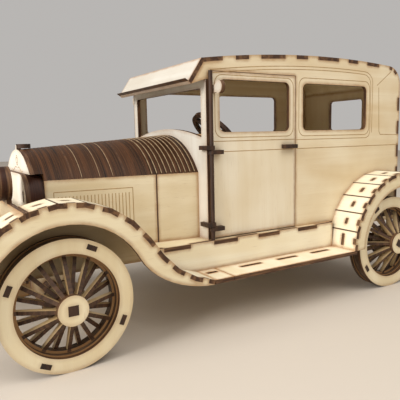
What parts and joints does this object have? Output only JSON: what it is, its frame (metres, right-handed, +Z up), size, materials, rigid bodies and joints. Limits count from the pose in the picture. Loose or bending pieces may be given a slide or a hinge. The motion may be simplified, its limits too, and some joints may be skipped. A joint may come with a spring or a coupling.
{
  "type": "wooden model car kit",
  "caption": "Assembled laser-cut plywood vintage sedan with hinged doors, turning spoked wheels, a steering wheel, stacked hood and sweeping fenders",
  "frame": {"origin": "on the ground below the middle of the car, midway between the axles", "axes": "+X towards the front bumper, +Y to the car's left, +Z up"},
  "size_m": [0.43, 0.1882, 0.1988],
  "materials": {
    "birch_ply": "laser-cut birch plywood, bare",
    "brown_wood": "burnt cut edges of stacked plywood",
    "dark_wood": "dark stained plywood"
  },
  "bodies": {
    "car": {"floor_plate": "birch_ply", "chassis_rails": "birch_ply", "axle_hangers": "birch_ply", "aprons": "birch_ply", "running_boards": "birch_ply", "front_fender_left_plate": "birch_ply", "front_fender_right_plate": "birch_ply", "front_fender_left_strips": "birch_ply", "front_fender_right_strips": "birch_ply", "fender_formers": "birch_ply", "rear_fender_left_plate": "birch_ply", "rear_fender_right_plate": "birch_ply", "rear_fender_left_strips": "birch_ply", "rear_fender_right_strips": "birch_ply", "body_side_left": "birch_ply", "body_side_right": "birch_ply", "front_bulkhead": "birch_ply", "rear_panel": "birch_ply", "roof_panel": "birch_ply", "visor": "birch_ply", "dashboard": "birch_ply", "hinge_rods": "dark_wood", "hinge_brackets": "dark_wood", "hood_front_sheets": "brown_wood", "hood_rear_sheets": "brown_wood", "engine_side_front_panels": "birch_ply", "engine_side_rear_panels": "birch_ply", "nose_arch_plate": "birch_ply", "radiator_front_plate": "birch_ply", "radiator_sheets": "brown_wood", "radiator_cap": "dark_wood", "headlight_bar": "birch_ply", "headlight_drums": "brown_wood", "headlight_rims": "birch_ply", "front_bumper": "birch_ply", "rear_bumper": "birch_ply"},
    "door_left_body": {"door_left": "birch_ply", "door_left_leaves": "dark_wood", "door_left_handle": "dark_wood", "door_left_mirror": "birch_ply"},
    "door_right_body": {"door_right": "birch_ply", "door_right_leaves": "dark_wood", "door_right_handle": "dark_wood", "door_right_mirror": "birch_ply"},
    "front_wheelset": {"front_axle": "dark_wood", "front_tyre_rings": "birch_ply", "front_left_tyre": "brown_wood", "front_right_tyre": "brown_wood", "front_spokes": "brown_wood", "front_hubs": "birch_ply", "front_wheel_pegs": "dark_wood"},
    "rear_wheelset": {"rear_axle": "dark_wood", "rear_tyre_rings": "birch_ply", "rear_left_tyre": "brown_wood", "rear_right_tyre": "brown_wood", "rear_spokes": "brown_wood", "rear_hubs": "birch_ply", "rear_wheel_pegs": "dark_wood"},
    "steering": {"steering_column": "dark_wood", "steering_wheel": "dark_wood"}
  },
  "joints": [
    {"name": "left_door_hinge", "type": "hinge", "parent": "car", "child": "door_left_body", "pos_m": [0.0305, 0.0651, 0.12], "axis": [0, 0, -1], "range_deg": [0, 72]},
    {"name": "right_door_hinge", "type": "hinge", "parent": "car", "child": "door_right_body", "pos_m": [0.0305, -0.0651, 0.12], "axis": [0, 0, 1], "range_deg": [0, 72]},
    {"name": "front_axle_spin", "type": "hinge", "parent": "car", "child": "front_wheelset", "pos_m": [0.1435, 0, 0.04], "axis": [0, 1, 0], "continuous": true},
    {"name": "rear_axle_spin", "type": "hinge", "parent": "car", "child": "rear_wheelset", "pos_m": [-0.1435, 0, 0.04], "axis": [0, 1, 0], "continuous": true},
    {"name": "steering_turn", "type": "hinge", "parent": "car", "child": "steering", "pos_m": [0.006, 0.03, 0.138], "axis": [-0.7071, 0, 0.7071], "range_deg": [-170, 170]}
  ]
}
